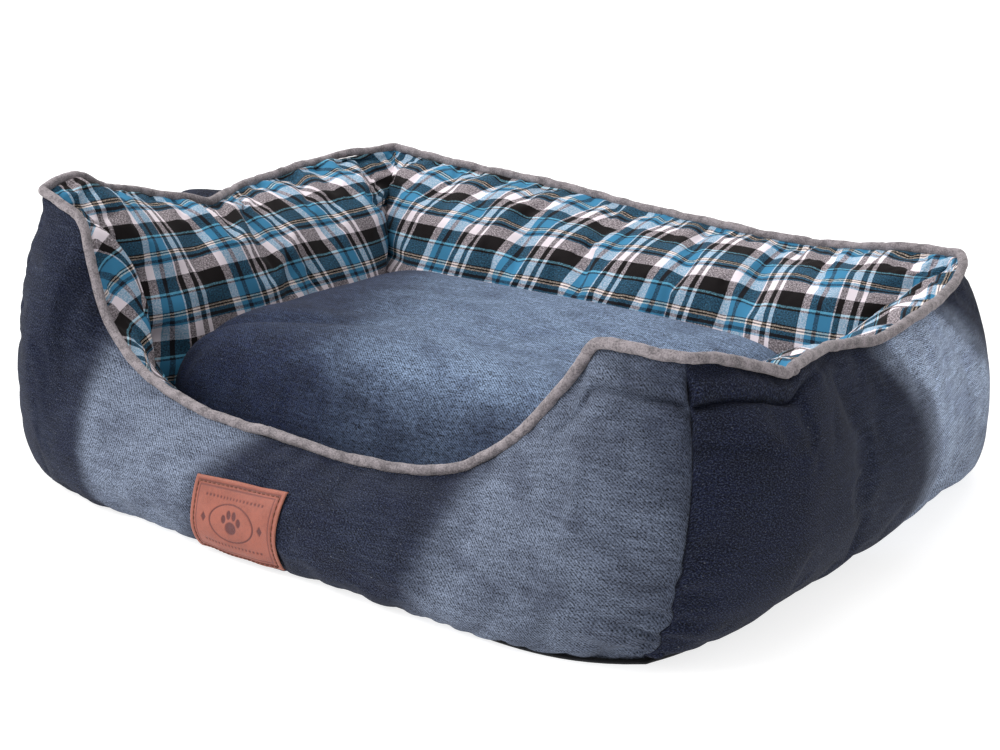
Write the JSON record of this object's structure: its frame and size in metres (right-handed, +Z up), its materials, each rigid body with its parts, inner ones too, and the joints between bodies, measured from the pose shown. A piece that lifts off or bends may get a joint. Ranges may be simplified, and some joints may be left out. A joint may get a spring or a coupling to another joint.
{
  "type": "pet cushion bed",
  "caption": "Rectangular pet bed with stuffed denim walls, plaid lining, grey piping, a low front step-in and a loose padded cushion.",
  "frame": {"origin": "centre of the bed's footprint on the floor", "axes": "+X along the front wall to the right as seen from the front, the low step-in faces -Y, +Z up"},
  "size_m": [0.6552, 0.539, 0.2103],
  "materials": {
    "denim_walls": "matte",
    "denim_cushion": "matte",
    "plaid_cotton": "matte",
    "grey_plush": "matte",
    "cotton_cord": "matte",
    "polyester_fill": "matte",
    "floor_lining": "matte",
    "base_black": "matte",
    "tan_leather": "satin",
    "brown_thread": "matte",
    "zip_tape": "matte",
    "zip_nylon": "satin",
    "zip_metal": "satin"
  },
  "bodies": {
    "bed": {"base_cloth": "base_black", "floor_wadding": "polyester_fill", "floor_lining": "floor_lining", "front_outer_panel": "denim_walls", "right_outer_panel": "denim_walls", "back_outer_panel": "denim_walls", "left_outer_panel": "denim_walls", "front_inner_panel": "plaid_cotton", "right_inner_panel": "plaid_cotton", "back_inner_panel": "plaid_cotton", "left_inner_panel": "plaid_cotton", "front_filling": "polyester_fill", "right_filling": "polyester_fill", "back_filling": "polyester_fill", "left_filling": "polyester_fill", "piping_cover": "grey_plush", "piping_cord": "cotton_cord", "leather_patch": "tan_leather", "patch_stitching": "brown_thread"},
    "cushion": {"cushion_top_cover": "denim_cushion", "cushion_bottom_cover": "denim_cushion", "cushion_filling": "polyester_fill", "zip_tapes": "zip_tape", "zip_coil": "zip_nylon", "zip_stops": "zip_metal"},
    "zip_slider": {"zip_slider": "zip_metal"}
  },
  "joints": [
    {"name": "cushion_lift", "type": "slide", "parent": "bed", "child": "cushion", "axis": [0, 0, 1], "range_m": [0, 0.25]},
    {"name": "zip_travel", "type": "slide", "parent": "cushion", "child": "zip_slider", "axis": [-1, 0, 0], "range_m": [0, 0.226]}
  ]
}
